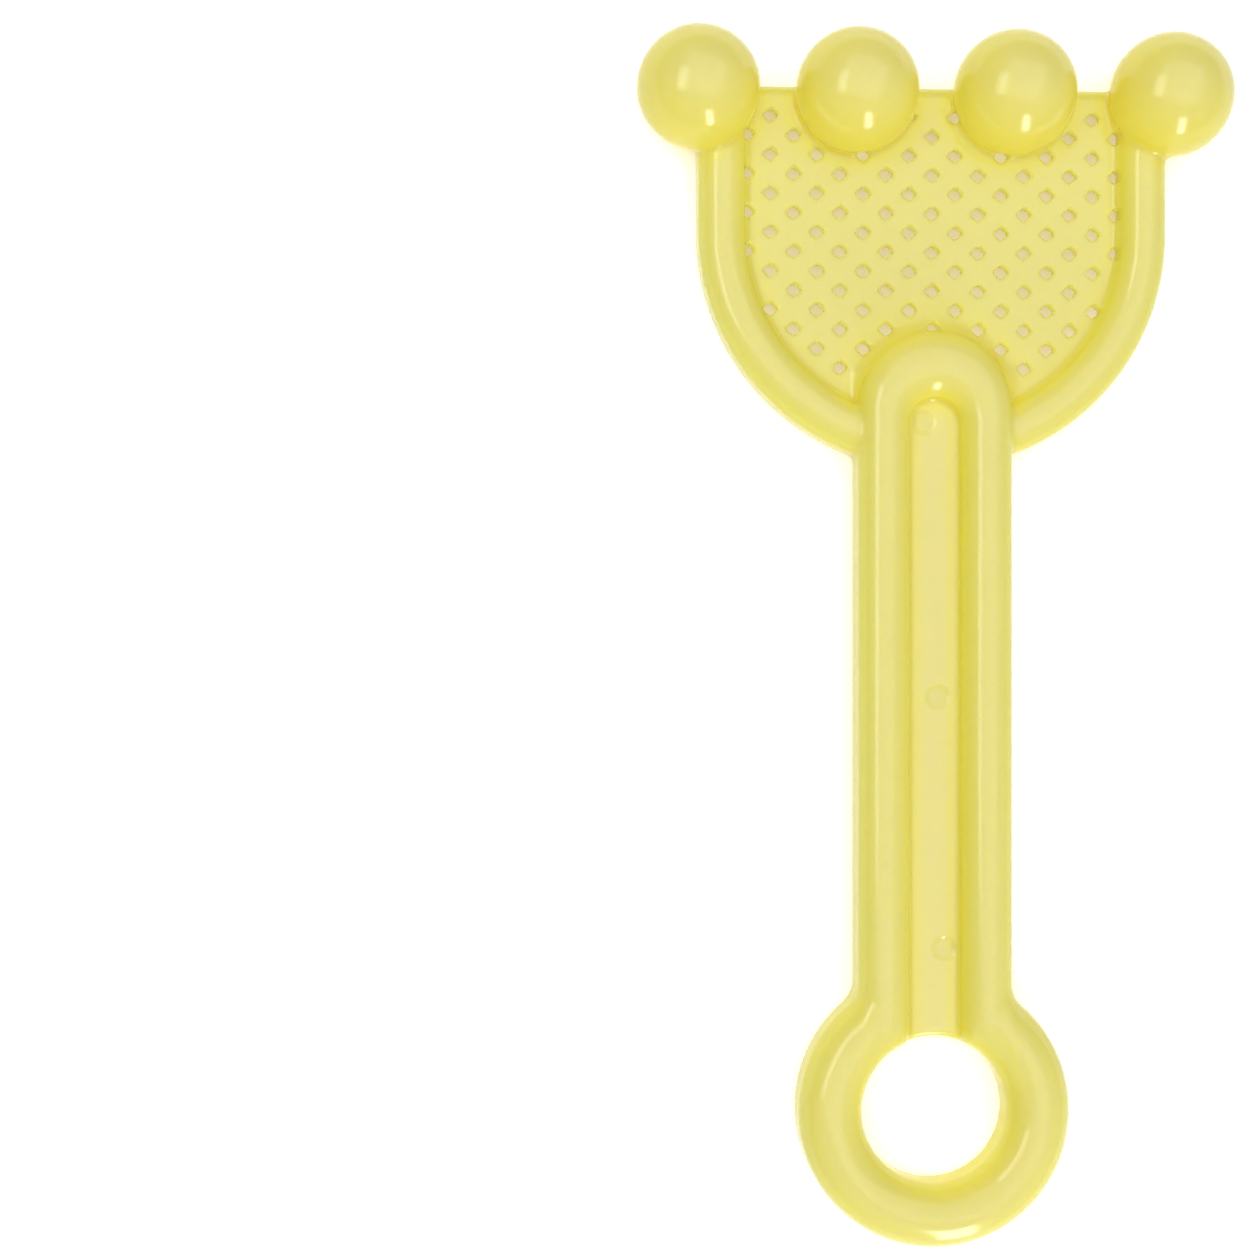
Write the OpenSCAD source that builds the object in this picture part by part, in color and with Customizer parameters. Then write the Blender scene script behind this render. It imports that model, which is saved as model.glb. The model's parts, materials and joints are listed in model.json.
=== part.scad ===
// Toy sand rake, moulded in one shot as a thin open-backed shell.
// Millimetres. The origin is the centre of the hanging hole on the back plane,
// +Y runs along the handle to the tines and +Z rises from the back to the face.

/* [Shell] */
// Wall of the beads, the channel floor and the tines
wall = 1.8; // [1.2:0.1:2.4]

/* [Hanging ring] */
// Outer diameter of the ring
ring_d = 45; // [41:0.5:56]
// Diameter of the hanging hole
ring_hole_d = 24; // [18:0.5:27]
// Height of the ring's crest above the back plane
ring_h = 10; // [9.9:0.1:13]

/* [Handle] */
// Width over both rails
handle_w = 25.6; // [24:0.2:30]
// Width of one half-round rail
rail_w = 8.5; // [7.5:0.1:10]
// Height of the rails' crest above the back plane
rail_h = 9.6; // [8.6:0.1:9.8]
// Height of the channel floor above the back plane
floor_level = 4.6; // [3.6:0.1:4.7]

/* [Head] */
// From the hanging hole to the row of tines
reach = 167.4; // [145:0.2:200]
// Width over the rim
head_w = 78; // [70:0.5:90]
// Width of the half-round rim
rim_w = 7.8; // [7:0.05:9.5]
// Height of the rim's crest above the back plane
rim_h = 7.6; // [7.2:0.1:8.6]
// Straight length of the rim behind the row of tines
rim_straight = 22.6; // [14:0.2:32]
// Bare sieve between the row of tines and the end of the handle
sieve_gap = 39.3; // [34:0.1:46]

/* [Front edge] */
// How far the front edge stands in front of the tine centres
lip_ahead = 1.8; // [0:0.1:3]
// Radius that rolls the front edge over
lip_r = 2.6; // [1.9:0.1:3]

/* [Sieve] */
// Height of the sieve's face above the back plane
sieve_level = 3.4; // [3:0.1:3.6]
// Thickness of the sieve
sieve_t = 1.6; // [1.2:0.1:1.8]
// Width of one diamond hole
hole_w = 2.7; // [1.5:0.1:3.6]
// Length of one diamond hole
hole_l = 2.4; // [1.5:0.1:3.2]
// Spacing of the holes in one row
hole_pitch = 7.7; // [6:0.1:10]
// Spacing of the rows
row_step = 3.2; // [2.6:0.1:4.5]
// From the tine centres back to the first row
first_row = 3.4; // [2.6:0.1:6]

/* [Tines] */
// Diameter of one ball-shaped tine
tine_d = 20.2; // [16:0.2:22]
// Gap between two neighbouring tines
tine_gap = 5.9; // [3:0.1:8]
// Height of a tine's centre above the back plane, which cuts its ball off
tine_level = 7; // [5:0.1:7.5]

/* [Hidden] */
$fn = 96;
yellow = [0.93, 0.87, 0.45];
// Overshoot of a cutting shape past the face it cuts
past = 1;
tall = 40;
ring_w = (ring_d - ring_hole_d) / 2;
ring_mid = (ring_d + ring_hole_d) / 4;
rail_x = (handle_w - rail_w) / 2;
channel_w = handle_w - 2 * rail_w;
floor_under = floor_level - wall;
arch_y = reach - sieve_gap - handle_w / 2;
rim_x = (head_w - rim_w) / 2;
rim_inner = head_w / 2 - rim_w;
arc_y = reach - rim_straight;
sieve_under = sieve_level - sieve_t;
front_y = reach + lip_ahead;
sieve_front = front_y - lip_r;
tine_pitch = tine_d + tine_gap;
tine_r = tine_d / 2;
core_r = sqrt(tine_r * tine_r - tine_level * tine_level) - wall;
core_end = tine_level + tine_r - wall - core_r;

// Half-round bead on straight legs, filled
module bead_solid(w, h) {
    translate([0, h - w / 2]) circle(d = w);
    translate([-w / 2, 0]) square([w, h - w / 2]);
}

// The hollow on the back of that bead
module bead_hollow(w, h) {
    translate([0, h - w / 2]) circle(d = w - 2 * wall);
    translate([wall - w / 2, -past]) square([w - 2 * wall, h - w / 2 + past]);
}

// The shell of a bead whose left leg stops at the height foot
module bead_shell(w, h, foot) {
    difference() {
        bead_solid(w, h);
        bead_hollow(w, h);
        translate([-w, -past]) square([w, foot + past]);
    }
}

// Runs a section along Y from y0 to y1
module along_y(y0, y1) {
    translate([0, y1, 0]) rotate([90, 0, 0]) linear_extrude(height = y1 - y0) children();
}

// Places a section on both rails
module rails() {
    for (side = [-1, 1]) translate([side * rail_x, 0]) children();
}

// Section of the space between the rails' crests, above the height level
module between_crests(level) {
    translate([-rail_x, level]) square([2 * rail_x, tall]);
}

// Outer form of the straight handle
module handle_solid(y0, y1) {
    along_y(y0, y1) rails() bead_solid(rail_w, rail_h);
    translate([-rail_x, y0, 0]) cube([2 * rail_x, y1 - y0, floor_level]);
}

// Hollow on the back of the straight handle
module handle_hollow(y0, y1) {
    along_y(y0, y1) rails() bead_hollow(rail_w, rail_h);
    translate([wall - handle_w / 2, y0, -past]) cube([handle_w - 2 * wall, y1 - y0, floor_under + past]);
}

// Outer form of the handle's round end
module arch_solid() {
    translate([0, arch_y, 0]) rotate_extrude(angle = 180) translate([rail_x, 0]) bead_solid(rail_w, rail_h);
}

// Outer form of one tine
module tine_solid(x) {
    translate([x, reach, tine_level]) sphere(r = tine_r);
}

module hang_ring() color(yellow) difference() {
    union() {
        rotate_extrude() translate([ring_mid, 0]) bead_solid(ring_w, ring_h);
        // The rails run on into the bead as far as its crest
        difference() {
            intersection() {
                handle_solid(0, ring_d);
                cylinder(d = ring_d, h = tall);
            }
            translate([0, 0, -past]) cylinder(r = ring_mid, h = tall);
        }
    }
    // The channel breaks through the bead to the hole, between the rails' inner flanks
    along_y(0, ring_d) difference() {
        between_crests(floor_level);
        rails() bead_solid(rail_w, rail_h);
    }
    difference() {
        rotate_extrude() translate([ring_mid, 0]) bead_hollow(ring_w, ring_h);
        along_y(0, ring_d) difference() {
            between_crests(floor_under);
            rails() bead_hollow(rail_w, rail_h);
        }
    }
    difference() {
        handle_hollow(0, ring_d);
        translate([0, 0, -2 * past]) cylinder(r = ring_mid, h = tall);
    }
    translate([0, 0, -past]) cylinder(d = ring_hole_d, h = tall);
}

module ring_cut() translate([0, 0, -past]) cylinder(d = ring_d, h = tall);

module right_rail() color(yellow) difference() {
    along_y(0, arch_y) translate([rail_x, 0]) bead_shell(rail_w, rail_h, floor_under);
    ring_cut();
}

module left_rail() color(yellow) difference() {
    along_y(0, arch_y) translate([-rail_x, 0]) mirror([1, 0]) bead_shell(rail_w, rail_h, floor_under);
    ring_cut();
}

module channel_floor() color(yellow) difference() {
    translate([0, 0, floor_under]) linear_extrude(height = wall) {
        translate([-channel_w / 2, 0]) square([channel_w, arch_y]);
        translate([0, arch_y]) circle(d = channel_w);
    }
    ring_cut();
}

module handle_arch() color(yellow)
    translate([0, arch_y, 0]) rotate_extrude(angle = 180)
        translate([rail_x, 0]) bead_shell(rail_w, rail_h, floor_under);

// Outer form of the rim's straight ends
module rim_ends() {
    for (side = [-1, 1]) along_y(arc_y, reach) translate([side * rim_x, 0]) bead_solid(rim_w, rim_h);
}

// Right half of the rim, from the outer tine round to the handle
module rim_half() difference() {
    union() {
        along_y(arc_y, reach) translate([rim_x, 0]) bead_shell(rim_w, rim_h, sieve_under);
        translate([0, arc_y, 0]) rotate([0, 0, -90]) rotate_extrude(angle = 90)
            translate([rim_x, 0]) bead_shell(rim_w, rim_h, sieve_under);
    }
    handle_solid(arc_y - head_w, arch_y);
    arch_solid();
    translate([-rail_x, arc_y - head_w, -past]) cube([2 * rail_x, head_w, tall]);
    tine_solid(tine_pitch * 1.5);
}

module right_rim() color(yellow) rim_half();

module left_rim() color(yellow) mirror([1, 0, 0]) rim_half();

// One diamond hole
module diamond() polygon([[hole_w / 2, 0], [0, hole_l / 2], [-hole_w / 2, 0], [0, -hole_l / 2]]);

module sieve_outline() {
    intersection() {
        translate([0, arc_y]) circle(r = rim_inner);
        translate([-rim_inner, arc_y - rim_inner]) square([2 * rim_inner, rim_inner]);
    }
    translate([-rim_inner, arc_y]) square([2 * rim_inner, sieve_front - arc_y]);
}

module sieve_panel() color(yellow) difference() {
    translate([0, 0, sieve_under]) linear_extrude(height = sieve_t) difference() {
        sieve_outline();
        translate([-handle_w / 2, arc_y - head_w]) square([handle_w, arch_y - arc_y + head_w]);
        translate([0, arch_y]) circle(d = handle_w);
        for (row = [0:floor(head_w / row_step)]) for (i = [-6:6]) {
            x = (i + (row % 2 == 0 ? 0.5 : 0)) * hole_pitch;
            y = reach - first_row - row * row_step;
            inside = norm([x, min(0, y - arc_y)]) < rim_inner + 0.25 * hole_w;
            if (inside && norm([x, max(0, y - arch_y)]) > handle_w / 2) translate([x, y]) diamond();
        }
    }
    for (i = [-1.5:1.5]) tine_solid(i * tine_pitch);
}

// Rolled front edge, in the gaps between the tines
module front_lip() color(yellow) difference() {
    translate([-1.5 * tine_pitch, sieve_front, sieve_level - lip_r]) rotate([90, 0, 90])
        linear_extrude(height = 3 * tine_pitch) {
            difference() {
                intersection() {
                    circle(r = lip_r);
                    square(lip_r);
                }
                circle(r = lip_r - sieve_t);
            }
            translate([lip_r - sieve_t, lip_r - sieve_level]) square([sieve_t, sieve_level - lip_r]);
        }
    for (i = [-1.5:1.5]) tine_solid(i * tine_pitch);
    rim_ends();
}

// Ball cut off at the back plane, with a round-ended hollow from the back
module tine(i) color(yellow) translate([(i - 2.5) * tine_pitch, reach, 0]) rotate_extrude()
    intersection() {
        difference() {
            translate([0, tine_level]) circle(r = tine_r);
            translate([0, core_end]) circle(r = core_r);
            translate([0, -past]) square([core_r, core_end + past]);
        }
        square([tine_d, tine_level + tine_d]);
    }

module tine_1() tine(1);
module tine_2() tine(2);
module tine_3() tine(3);
module tine_4() tine(4);

hang_ring();
left_rail();
right_rail();
channel_floor();
handle_arch();
left_rim();
right_rim();
sieve_panel();
front_lip();
tine_1();
tine_2();
tine_3();
tine_4();
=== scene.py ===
import json
import math

import bpy
import numpy as np
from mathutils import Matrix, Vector


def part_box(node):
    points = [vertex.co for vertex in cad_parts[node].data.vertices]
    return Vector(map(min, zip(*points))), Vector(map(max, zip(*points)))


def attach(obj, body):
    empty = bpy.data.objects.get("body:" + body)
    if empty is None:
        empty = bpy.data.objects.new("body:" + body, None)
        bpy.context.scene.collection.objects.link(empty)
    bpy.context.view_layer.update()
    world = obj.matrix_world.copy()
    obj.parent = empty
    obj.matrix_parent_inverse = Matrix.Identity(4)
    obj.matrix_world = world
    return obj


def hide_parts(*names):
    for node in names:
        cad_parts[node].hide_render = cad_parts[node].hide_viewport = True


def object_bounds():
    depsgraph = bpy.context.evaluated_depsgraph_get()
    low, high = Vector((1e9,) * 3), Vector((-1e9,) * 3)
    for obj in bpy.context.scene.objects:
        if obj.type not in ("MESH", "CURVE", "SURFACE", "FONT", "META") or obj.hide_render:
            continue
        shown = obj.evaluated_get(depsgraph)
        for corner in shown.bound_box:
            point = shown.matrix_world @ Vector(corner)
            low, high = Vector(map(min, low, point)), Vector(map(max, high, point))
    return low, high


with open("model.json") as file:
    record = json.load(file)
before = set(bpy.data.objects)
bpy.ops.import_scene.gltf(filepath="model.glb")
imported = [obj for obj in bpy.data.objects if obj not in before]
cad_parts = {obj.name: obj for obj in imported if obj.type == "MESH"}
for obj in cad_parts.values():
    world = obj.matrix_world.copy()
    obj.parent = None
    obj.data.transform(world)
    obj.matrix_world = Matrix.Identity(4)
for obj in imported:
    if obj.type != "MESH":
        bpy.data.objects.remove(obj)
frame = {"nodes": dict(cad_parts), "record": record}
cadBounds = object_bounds()
print("frame loaded")


# sRGB hex to linear
def hexColor(text):
    parts = [int(text[i:i + 2], 16) / 255 for i in (1, 3, 5)]
    return [c / 12.92 if c <= 0.04045 else ((c + 0.055) / 1.055) ** 2.4 for c in parts] + [1.0]


# adds one node, sets its values, links its inputs
def addNode(tree, kind, settings=None, inputs=None, links=None):
    node = tree.nodes.new(kind)
    for name, value in (settings or {}).items():
        setattr(node, name, value)
    for name, value in (inputs or {}).items():
        node.inputs[name].default_value = value
    for name, socket in (links or {}).items():
        tree.links.new(socket, node.inputs[name])
    return node


# a CAD node's corners in millimetres
def nodeBox(name):
    low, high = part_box(name)
    return np.array(low) * 1000, np.array(high) * 1000


# millimetres; how the moulding's forms run into each other
moulding = {
    "foot": 1.0,            # blend where a rail stands on the channel floor or meets the rim
    "rimFoot": 1.8,         # blend where the rim stands on the sieve
    "archFoot": 4.0,        # blend where the handle's end stands on the sieve
    "tineFoot": 1.2,        # blend where a tine meets the rim or the front edge
    "tineSieveFoot": 1.6,   # blend where a tine stands on the sieve
    "archDrop": 2.3,        # how far the channel ends short of the arch's own centre circle
    "ringBlend": 2.2,       # blend where the rails' outer flanks run into the ring
    "flankBlend": 0.6,      # blend where their inner flanks do
    "flankWidth": 2.0,      # width over which that one comes in
    "holeRoll": 0.8,        # roll of the channel floor into the hanging hole
    "rollWidth": 1.5,       # width over which the roll comes in
    "sharp": 0.01,          # the least blend
    "edge": 0.5,            # softening of the sharp edges on the back
}

# millimetres; the sieve's staggered diamond holes
lattice = {
    "size": (2.7, 2.4),     # across and along
    "pitch": 7.7,           # from hole to hole in a row
    "rowStep": 3.2,         # from row to row
    "firstRow": 3.4,        # from the tine centres back to the first row
    "margin": 0.25,         # share of a hole's width that its centre may lie past the sieve's edge
    "corner": 0.35,         # corner radius
    "edge": 0.45,           # softening of the edges
    "top": 2.0,             # how far over the sieve a hole cuts through the feet beside it
    "farOff": 5.0,          # distance given where no hole is near
}

# millimetres; where the ejector pins pressed into the channel floor
pins = {
    "places": ((1.7, 26.5), (0.7, 68.0), (-1.7, 113.3)),
    "across": 3.6,
    "depth": 0.35,
    "step": 0.8,            # width of the soft step round a mark
}

# millimetres; how the moulding is meshed
meshing = {
    "cell": 0.45,           # size of a face
    "slab": 40,             # rows of cells worked out at once
    "rounds": 3,            # times that the points are drawn onto the surface
    "slopeStep": 0.04,      # half the span over which a slope is taken
    "leastSlope": 0.2,      # least squared slope to divide by
    "mostMove": 0.4,        # most that a point moves at once, as a share of a cell
    "relax": 0.4,           # share of the way to the middle of its neighbours
    "normalStep": 0.12,     # half the span over which a normal is taken
    "leastNormal": 1e-6,    # least length of a normal to divide by
}

# painted sheen and shade on the plastic: open flats facing up are painted paler, as a reflection of the
# light over them, most of all the channel floor; steep walls and creases are painted deeper yellow, as
# shade
paintedSheenPlaces = {
    "openReach": 3.0,       # mm off the surface at which the room in front of it is judged
    "otherFlats": 0.8,      # of the channel floor's
    "floorMargin": 0.2,     # mm over the channel floor that still count as floor
}

ringLow, ringHigh = nodeBox("hang_ring")
railLow, railHigh = nodeBox("right_rail")
floorLow, floorHigh = nodeBox("channel_floor")
rimLow, rimHigh = nodeBox("right_rim")
sieveLow, sieveHigh = nodeBox("sieve_panel")
lipLow, lipHigh = nodeBox("front_lip")
innerLow, innerHigh = nodeBox("tine_3")
outerLow, outerHigh = nodeBox("tine_4")
holeR = next(m["dims"]["r_mm"] for m in frame["record"]["mounts"] if m["name"] == "hang_hole")

wall = floorHigh[2] - floorLow[2]
ringMid = (ringHigh[0] + holeR) / 2
ringR = (ringHigh[0] - holeR) / 2
railX = (railLow[0] + railHigh[0]) / 2
railR = (railHigh[0] - railLow[0]) / 2
channelHalf = railX - railR
handleHalf = railHigh[0]
archY = railHigh[1]
railC = railHigh[2] - railR
ringC = railHigh[2] - ringR   # level with the rails, so that the beads run into each other
floorTop, floorUnder = floorHigh[2], floorLow[2]
headHalf = rimHigh[0]
rimInner = sieveHigh[0]
rimX = (headHalf + rimInner) / 2
rimR = (headHalf - rimInner) / 2
rimC = rimHigh[2] - rimR
sieveTop, sieveUnder = sieveHigh[2], sieveLow[2]
sieveT = sieveTop - sieveUnder
arcY = sieveLow[1] + math.sqrt(rimInner ** 2 - handleHalf ** 2)
frontY, lipR = lipHigh[1], lipHigh[1] - lipLow[1]
tineR = (outerHigh[0] - outerLow[0]) / 2
tineC = outerHigh[2] - tineR
tineOut = (outerHigh[0] + outerLow[0]) / 2
tineIn = (innerHigh[0] + innerLow[0]) / 2
reach = (outerHigh[1] + outerLow[1]) / 2
coreR = math.sqrt(tineR ** 2 - tineC ** 2) - wall
coreEnd = tineC + tineR - wall - coreR


# smooth minimum and maximum of two distances over the width k
def blendMin(a, b, k):
    h = np.maximum(k - np.abs(a - b), 0) / k
    return np.minimum(a, b) - h * h * k * 0.25


def blendMax(a, b, k):
    return -blendMin(-a, -b, k)


# distance to a half-round bead on straight legs, u from its centreline
def bead(u, z, r, centre):
    return np.where(z > centre, np.hypot(u, z - centre), np.abs(u)) - r


# distance to the nearest hole of the sieve's staggered lattice
def holeField(x, y):
    halfW, halfL = (s / 2 for s in lattice["size"])
    pitch, step, corner = lattice["pitch"], lattice["rowStep"], lattice["corner"]
    firstY = reach - lattice["firstRow"]
    edgeR = rimInner + lattice["margin"] * halfW * 2
    slant = math.hypot(halfW, halfL)
    inW, inL = halfW - corner * slant / halfL, halfL - corner * slant / halfW
    best = np.full(x.shape, lattice["farOff"])
    for shift in (0, 1):   # even rows stand half a pitch aside
        row = np.round(((firstY - y) / step - shift) / 2) * 2 + shift
        offset = 0.5 if shift == 0 else 0.0
        holeX = (np.round(x / pitch - offset) + offset) * pitch
        holeY = firstY - row * step
        inside = np.hypot(holeX, np.minimum(0, holeY - arcY)) < edgeR
        inside &= (row >= 0) & (np.hypot(holeX, np.maximum(0, holeY - archY)) > handleHalf)
        px, py = np.abs(x - holeX), np.abs(y - holeY)
        along = np.clip(((px - inW) * -inW + py * inL) / (inW ** 2 + inL ** 2), 0, 1)
        far = np.hypot(px - inW * (1 - along), py - inL * along)
        signed = np.where(px * inL + py * inW > inW * inL, far, -far) - corner
        best = np.where(inside, np.minimum(best, signed), best)
    return best


# how far the ejector pins pressed into the channel floor
def pinMarks(x, y):
    depth = np.zeros(x.shape)
    for pinX, pinY in pins["places"]:
        out = np.hypot(x - pinX, y - pinY) - pins["across"] / 2
        depth += pins["depth"] * np.clip(0.5 - out / pins["step"], 0, 1)
    return depth


# signed distance to the rake's plastic, in millimetres
def rakeField(x, y, z):
    m = moulding
    ax, rho = np.abs(x), np.hypot(x, y)
    # handle: a hairpin of two rails and an arch, and the channel floor
    hair = np.where(y > archY, np.hypot(x, y - archY), ax)
    endY = archY - m["archDrop"]
    inner = np.where(y > endY, np.hypot(x, y - endY), ax) - channelHalf
    outward = handleHalf - hair
    across = railR * (inner - outward) / (inner + outward)
    rail = bead(across, z, railR, railC)
    floor = np.maximum(across, z - floorTop + pinMarks(x, y))
    profile = blendMin(rail, floor, m["foot"])
    handle = np.maximum(profile, np.maximum(ringMid - rho, -y))
    # ring: its bead is broken by the channel
    ring = bead(rho - ringMid, z, ringR, ringC)
    wedge = (ax < railX) & (y > 0)
    flankSoft = m["flankBlend"] * np.clip((railX - ax) / m["flankWidth"], 0, 1)
    holeSoft = m["holeRoll"] * np.clip((channelHalf + m["rollWidth"] - ax) / m["rollWidth"], 0, 1)
    ring = np.where(wedge, blendMax(ring, profile, m["sharp"] + flankSoft + holeSoft), ring)
    fade = np.clip((ax - railX) / railR, 0, 1)
    outer = blendMin(ring, handle, m["sharp"] + m["ringBlend"] * fade * fade * (3 - 2 * fade))
    # head: rim bead and sieve with a rolled front edge, kept out of the handle
    bow = np.where(y > arcY, ax, np.hypot(x, y - arcY))
    rim = np.maximum(bead(bow - rimX, z, rimR, rimC), y - reach)
    qy, qz = y - (frontY - lipR), z - (sieveTop - lipR)
    roll = np.hypot(np.maximum(qy, 0), np.maximum(qz, 0)) + np.minimum(np.maximum(qy, qz), 0) - lipR
    plate = np.maximum(bow - rimX, roll)
    head = np.maximum(blendMin(rim, plate, m["rimFoot"]), -across)
    onSieve = np.clip((rim - plate) / m["archFoot"], 0, 1)   # 0 beside the rim, 1 out on the sieve
    outer = blendMin(outer, head, m["foot"] + (m["archFoot"] - m["foot"]) * onSieve)
    # tines: balls, which the front edge meets sharper than the sieve does
    tineU = np.hypot(np.minimum(np.abs(ax - tineIn), np.abs(ax - tineOut)), y - reach)
    ball = np.hypot(tineU, z - tineC) - tineR
    behind = onSieve * np.clip((reach - y) / m["tineSieveFoot"], 0, 1)
    outer = blendMin(outer, ball, m["tineFoot"] + (m["tineSieveFoot"] - m["tineFoot"]) * behind)
    # hollows of the back
    railHollow = bead(across, z, railR - wall, railC)
    underFloor = np.maximum(hair - (handleHalf - wall), z - floorUnder)
    handleHollow = np.minimum(railHollow, underFloor)
    ringHollow = bead(rho - ringMid, z, ringR - wall, ringC)
    ringHollow = np.where(wedge, np.maximum(ringHollow, handleHollow), ringHollow)
    handleHollow = np.maximum(handleHollow, np.maximum(ringMid - rho, -y))
    rimHollow = np.maximum(bead(bow - rimX, z, rimR - wall, rimC), y - reach)
    underSieve = np.maximum(z - sieveUnder, y - (frontY - sieveT))
    underSieve = np.maximum(bow - (headHalf - wall), underSieve)
    headHollow = np.minimum(rimHollow, underSieve)
    headHollow = np.maximum(headHollow, np.maximum(outward, -ball))
    tineHollow = bead(tineU, z, coreR, coreEnd)
    hollow = np.minimum(np.minimum(handleHollow, ringHollow), np.minimum(headHollow, tineHollow))
    shell = blendMax(blendMax(outer, -hollow, m["edge"]), -z, m["edge"])
    # sieve holes, only through the panel
    holes = np.maximum(holeField(x, y), np.maximum(rimR - np.abs(bow - rimX), outward))
    holes = np.maximum(holes, np.maximum(-ball, z - sieveTop - lattice["top"]))
    return blendMax(shell, -holes, lattice["edge"])


# gradient of the field at some points
def fieldSlope(points, step):
    x, y, z = points.T
    return np.stack([rakeField(x + step, y, z) - rakeField(x - step, y, z),
                     rakeField(x, y + step, z) - rakeField(x, y - step, z),
                     rakeField(x, y, z + step) - rakeField(x, y, z - step)], 1) / (2 * step)


# draws points onto the surface
def toSurface(points):
    most = meshing["mostMove"] * meshing["cell"]
    for _ in range(meshing["rounds"]):
        slope = fieldSlope(points, meshing["slopeStep"])
        size = np.maximum((slope ** 2).sum(1), meshing["leastSlope"])
        move = (rakeField(*points.T) / size)[:, None] * slope
        points = points - np.clip(move, -most, most)
    return points


# quads of the field's zero surface on a regular grid
def surfaceNet(low, high):
    cell, slab = meshing["cell"], meshing["slab"]
    axes = [np.arange(low[i] - 2 * cell, high[i] + 3 * cell, cell) for i in range(3)]
    values = np.empty([len(a) for a in axes], np.float32)
    for j in range(0, len(axes[1]), slab):
        part = np.meshgrid(axes[0], axes[1][j:j + slab], axes[2], indexing="ij")
        values[:, j:j + slab] = rakeField(*part)
    inside = values < 0
    n = inside.shape
    corners = [(i, j, k) for i in (0, 1) for j in (0, 1) for k in (0, 1)]
    count = np.zeros([length - 1 for length in n], np.int8)
    for i, j, k in corners:
        count += inside[i:n[0] - 1 + i, j:n[1] - 1 + j, k:n[2] - 1 + k]
    active = (count > 0) & (count < len(corners))
    cells = np.argwhere(active)
    index = np.full(active.shape, -1, np.int32)
    index[active] = np.arange(len(cells))
    # a cell's point is the mean of the crossings on its edges
    total, hits = np.zeros((len(cells), 3)), np.zeros(len(cells))
    for a in corners:
        for d in range(3):
            if a[d]:
                continue
            b = tuple(a[i] + (i == d) for i in range(3))
            va = values[tuple((cells + a).T)].astype(float)
            vb = values[tuple((cells + b).T)].astype(float)
            cross = (va < 0) != (vb < 0)
            t = np.where(cross, va / np.where(cross, va - vb, 1), 0)
            point = np.array(a)[None] + t[:, None] * (np.array(b) - np.array(a))[None]
            total += np.where(cross[:, None], point, 0)
            hits += cross
    origin = np.array([a[0] for a in axes])
    points = origin + cell * (cells + total / hits[:, None])
    # a quad round each grid edge that the surface crosses
    quads = []
    for d in range(3):
        u, v = np.eye(3, dtype=int)[(d + 1) % 3], np.eye(3, dtype=int)[(d + 2) % 3]
        first = inside[tuple(slice(0, n[i] - 1) if i == d else slice(1, n[i] - 1) for i in range(3))]
        second = inside[tuple(slice(1, n[i]) if i == d else slice(1, n[i] - 1) for i in range(3))]
        for out, way in ((first & ~second, 1), (~first & second, -1)):
            at = np.argwhere(out) + u + v
            ring = [index[tuple((at - s).T)] for s in (u + v, v, 0 * u, u)]
            quads.append(np.stack(ring[::way], 1))
    return points, np.concatenate(quads)


# evens out the quads
def relax(points, quads):
    ends = np.concatenate([quads, np.roll(quads, -1, 1)]).ravel()
    others = np.concatenate([np.roll(quads, -1, 1), quads]).ravel()
    degree = np.bincount(ends, minlength=len(points))[:, None]
    mean = np.stack([np.bincount(ends, points[others, i], len(points)) for i in range(3)], 1) / degree
    return points + meshing["relax"] * (mean - points)


# share of painted sheen: 1 on the open channel floor, painted palest as a reflection; 0 on steep walls and
# in creases, painted deeper yellow as shade
def paintedSheenShare(points, normals):
    off = paintedSheenPlaces["openReach"]
    openness = np.clip(rakeField(*(points + off * normals).T) / off, 0, 1)
    x, y, z = points.T
    inChannel = (np.abs(x) < channelHalf) & (y < archY) & (z < floorTop + paintedSheenPlaces["floorMargin"])
    return openness * normals[:, 2] ** 2 * np.where(inChannel, 1.0, paintedSheenPlaces["otherFlats"])


def mouldRake():
    low, high = (np.array(corner) * 1000 for corner in cadBounds)
    points, quads = surfaceNet(low, high)
    points = toSurface(points)
    points = toSurface(relax(points, quads))
    slope = fieldSlope(points, meshing["normalStep"])
    normals = slope / np.maximum(np.linalg.norm(slope, axis=1), meshing["leastNormal"])[:, None]
    # painted sheen and shade, kept on the points for the material
    paintedSheen = paintedSheenShare(points, normals)
    mesh = bpy.data.meshes.new("rakeMoulding")
    mesh.vertices.add(len(points))
    mesh.vertices.foreach_set("co", (points / 1000).astype(np.float32).ravel())
    mesh.loops.add(quads.size)
    mesh.loops.foreach_set("vertex_index", quads.astype(np.int32).ravel())
    mesh.polygons.add(len(quads))
    mesh.polygons.foreach_set("loop_start", np.arange(0, quads.size, 4, dtype=np.int32))
    mesh.update(calc_edges=True)
    mesh.validate()
    mesh.shade_smooth()
    mesh.normals_split_custom_set_from_vertices([tuple(v) for v in normals])
    mesh.attributes.new("paintedSheen", "FLOAT", "POINT").data.foreach_set("value", paintedSheen.astype(np.float32))
    rake = bpy.data.objects.new("rakeMoulding", mesh)
    bpy.context.scene.collection.objects.link(rake)
    return rake


# moulded polypropylene: polished tool, so a smooth gloss; a little light enters the thin wall and comes
# out more yellow.
# Steep flanks and creases are painted a deeper yellow as shade, and open flats are painted paler as sheen
plastic = {
    # painted sheen and shade: the colour runs from the shade colour on steep walls and in creases to the
    # sheen colour on open flats
    "paintedSheenColour": "#E9DF94",
    "paintedShadeColour": "#F3E85E",           # steep walls and creases, painted deeper yellow as shade
    "throughFlat": "#D8CC8A",    # tint of light that passes one face of a flat
    "throughSteep": "#F8F4E4",   # and of a steep wall, which spreads it on the paper
    "depth": (4.0, 3.4, 1.5),    # mm that red, green and blue light travel inside
    "ior": 1.49,
    "roughness": 0.15,
    "wave": 14.0,                # mm, spacing of the slight sink waves
    "waveHeight": 0.03,          # mm
    "waveDetail": 1.0,
    "waveRoughness": 0.4,
}


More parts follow.
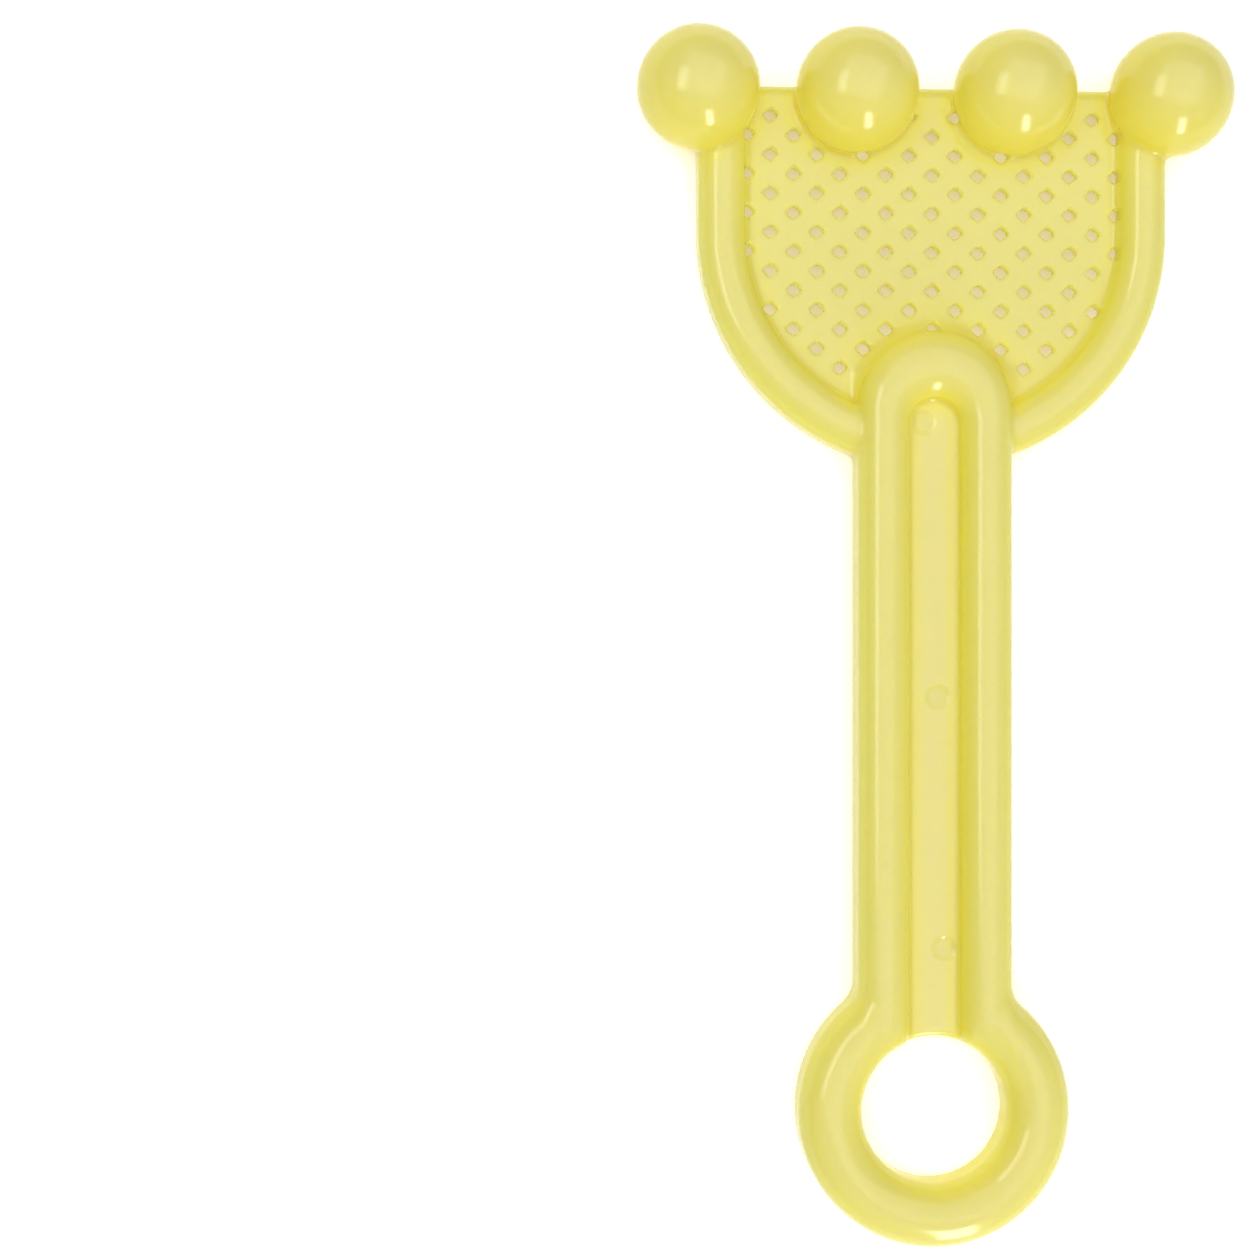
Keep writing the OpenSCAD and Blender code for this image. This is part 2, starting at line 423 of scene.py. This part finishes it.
def polypropylene():
    material = bpy.data.materials.new("moulded polypropylene, yellow")
    material.use_nodes = True
    tree = material.node_tree
    tree.nodes.clear()
    place = addNode(tree, "ShaderNodeTexCoord")
    wave = addNode(tree, "ShaderNodeTexNoise", {"noise_dimensions": "3D"},
                   {"Scale": 1000 / plastic["wave"], "Detail": plastic["waveDetail"],
                    "Roughness": plastic["waveRoughness"]},
                   {"Vector": place.outputs["Object"]})
    bump = addNode(tree, "ShaderNodeBump", None,
                   {"Strength": 1.0, "Distance": plastic["waveHeight"] / 1000},
                   {"Height": wave.outputs["Fac"]})
    sheenAttribute = addNode(tree, "ShaderNodeAttribute", {"attribute_name": "paintedSheen"})
    # sockets 6, 7 and 2 of a colour mix are its two colours and its result
    # painted sheen and shade: deeper yellow in creases and on steep walls, paler on open flats
    sheenAndShadeColour = addNode(tree, "ShaderNodeMix", {"data_type": "RGBA"},
                   {6: hexColor(plastic["paintedShadeColour"]), 7: hexColor(plastic["paintedSheenColour"])},
                   {"Factor": sheenAttribute.outputs["Fac"]})
    surface = addNode(tree, "ShaderNodeBsdfPrincipled", {"subsurface_method": "RANDOM_WALK"},
                      {"Roughness": plastic["roughness"], "IOR": plastic["ior"], "Subsurface Weight": 1.0,
                       "Subsurface Scale": 1 / 1000, "Subsurface Radius": plastic["depth"]},   # mm to m
                      {"Normal": bump.outputs["Normal"], "Base Color": sheenAndShadeColour.outputs[2]})
    # light on its way to other things goes on through the wall, tinted
    ray = addNode(tree, "ShaderNodeLightPath")
    sift = addNode(tree, "ShaderNodeMix", {"data_type": "RGBA"},
                   {6: hexColor(plastic["throughSteep"]), 7: hexColor(plastic["throughFlat"])},
                   {"Factor": sheenAttribute.outputs["Fac"]})
    clear = addNode(tree, "ShaderNodeBsdfTransparent", None, None, {"Color": sift.outputs[2]})
    both = addNode(tree, "ShaderNodeMixShader", None, None,
                   {0: ray.outputs["Is Shadow Ray"], 1: surface.outputs["BSDF"], 2: clear.outputs["BSDF"]})
    addNode(tree, "ShaderNodeOutputMaterial", None, None, {"Surface": both.outputs["Shader"]})
    return material


rake = mouldRake()
rake.data.materials.append(polypropylene())
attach(rake, "root")
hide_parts(*frame["nodes"].keys())
print("moulding built: %d faces" % len(rake.data.polygons))

# uncoated paper: pressed smooth but not glazed, so it is matt and nearly even
paper = {
    "colour": "#F7F7F5",
    "roughness": 0.9,
    "gloss": 0.1,
    "size": 6,              # m
    "drop": 0.0002,         # m under the rake's back, so that the faces don't coincide
    "lift": 0.38,           # light added where bare paper is seen
    "paintedShadeLift": 0.10,    # painted shade: less light added where it lies covered under the sieve
    "coverReach": 0.008,    # m over the paper in which a thing covers it
    "coverSamples": 4,      # rays that look for it
    "coverShares": (0.2, 0.5),   # open share of what lies over covered and over bare paper
}


def mattPaper():
    material = bpy.data.materials.new("matt white paper")
    material.use_nodes = True
    tree = material.node_tree
    shader = tree.nodes["Principled BSDF"]
    shader.inputs["Base Color"].default_value = hexColor(paper["colour"])
    shader.inputs["Roughness"].default_value = paper["roughness"]
    shader.inputs["Specular IOR Level"].default_value = paper["gloss"]
    # the paper is lifted to white where it is seen, and keeps the shadow
    ray = addNode(tree, "ShaderNodeLightPath")
    seen = ray.outputs["Is Camera Ray"]
    for kind in ("Is Glossy Ray", "Is Transmission Ray"):
        seen = addNode(tree, "ShaderNodeMath", {"operation": "MAXIMUM"}, None,
                       {0: seen, 1: ray.outputs[kind]}).outputs["Value"]
    # painted shade: the light added to the paper is cut down where the sieve covers it, darkening the
    # paper under the rake
    bare = addNode(tree, "ShaderNodeAmbientOcclusion", {"samples": paper["coverSamples"]},
                   {"Distance": paper["coverReach"]})
    liftWithPaintedShade = addNode(tree, "ShaderNodeMapRange", None,
                    {"From Min": paper["coverShares"][0], "From Max": paper["coverShares"][1],
                     "To Min": paper["paintedShadeLift"], "To Max": paper["lift"]},
                    {"Value": bare.outputs["AO"]})
    lift = addNode(tree, "ShaderNodeMath", {"operation": "MULTIPLY"}, None,
                   {0: seen, 1: liftWithPaintedShade.outputs["Result"]})
    tree.links.new(lift.outputs["Value"], shader.inputs["Emission Strength"])
    return material


def layFloor():
    bpy.ops.mesh.primitive_plane_add(size=paper["size"], location=(0, 0, -paper["drop"]))
    ground = bpy.context.object
    ground.name = "floor"
    ground.data.materials.append(mattPaper())


# metres, degrees and watts; lean from upright, bearing from +x
studio = {
    "sky": 0.25,
    "middle": (0, 0.08, 0),   # where the lamps point
    "lamps": {
        "left softbox": {"away": 0.9, "lean": 38, "bearing": 165, "size": (0.6, 0.25), "power": 1.6},
        "overhead panel": {"away": 0.9, "lean": 14, "bearing": 75, "size": (1.3, 1.3), "power": 5.95},
        "low lamp": {"away": 0.8, "lean": 70, "bearing": -74, "size": (0.18, 0.5), "power": 2.6},
    },
}


def areaLamp(name, away, lean, bearing, size, power):
    lamp = bpy.data.lights.new(name, "AREA")
    lamp.shape = "RECTANGLE"
    lamp.size, lamp.size_y = size
    lamp.energy = power
    lean, bearing = math.radians(lean), math.radians(bearing)
    way = Vector((math.sin(lean) * math.cos(bearing), math.sin(lean) * math.sin(bearing), math.cos(lean)))
    holder = bpy.data.objects.new(name, lamp)
    holder.location = Vector(studio["middle"]) + way * away
    holder.rotation_euler = way.to_track_quat("Z", "Y").to_euler()
    bpy.context.scene.collection.objects.link(holder)
    return holder


def hangLamps():
    world = bpy.data.worlds.new("white room")
    bpy.context.scene.world = world
    world.use_nodes = True
    sky = world.node_tree.nodes["Background"]
    sky.inputs["Color"].default_value = hexColor("#FFFFFF")
    sky.inputs["Strength"].default_value = studio["sky"]
    for name, lamp in studio["lamps"].items():
        areaLamp(name, **lamp)


# metres and degrees; the camera hangs over the rake's left and looks a little to the right, at the
# middle of the picture
sight = {
    "at": (-0.05023, 0.0791, 0.005),
    "height": 0.345,          # over that point
    "across": 0.2053,         # width of the picture at that distance
    "lean": 3.6,
    "clip": (0.01, 20),
}


def setCamera():
    lean = math.radians(sight["lean"])
    lens = bpy.data.cameras.new("camera")
    lens.sensor_fit = "HORIZONTAL"
    lens.angle = 2 * math.atan(sight["across"] / 2 / sight["height"])
    lens.clip_start, lens.clip_end = sight["clip"]
    camera = bpy.data.objects.new("camera", lens)
    camera.location = Vector(sight["at"]) + sight["height"] * Vector((-math.tan(lean), 0, 1))
    camera.rotation_euler = (0, -lean, 0)
    bpy.context.scene.collection.objects.link(camera)
    bpy.context.scene.camera = camera


bpy.context.scene.view_settings.view_transform = "Standard"
layFloor()
hangLamps()
setCamera()
print("studio built")
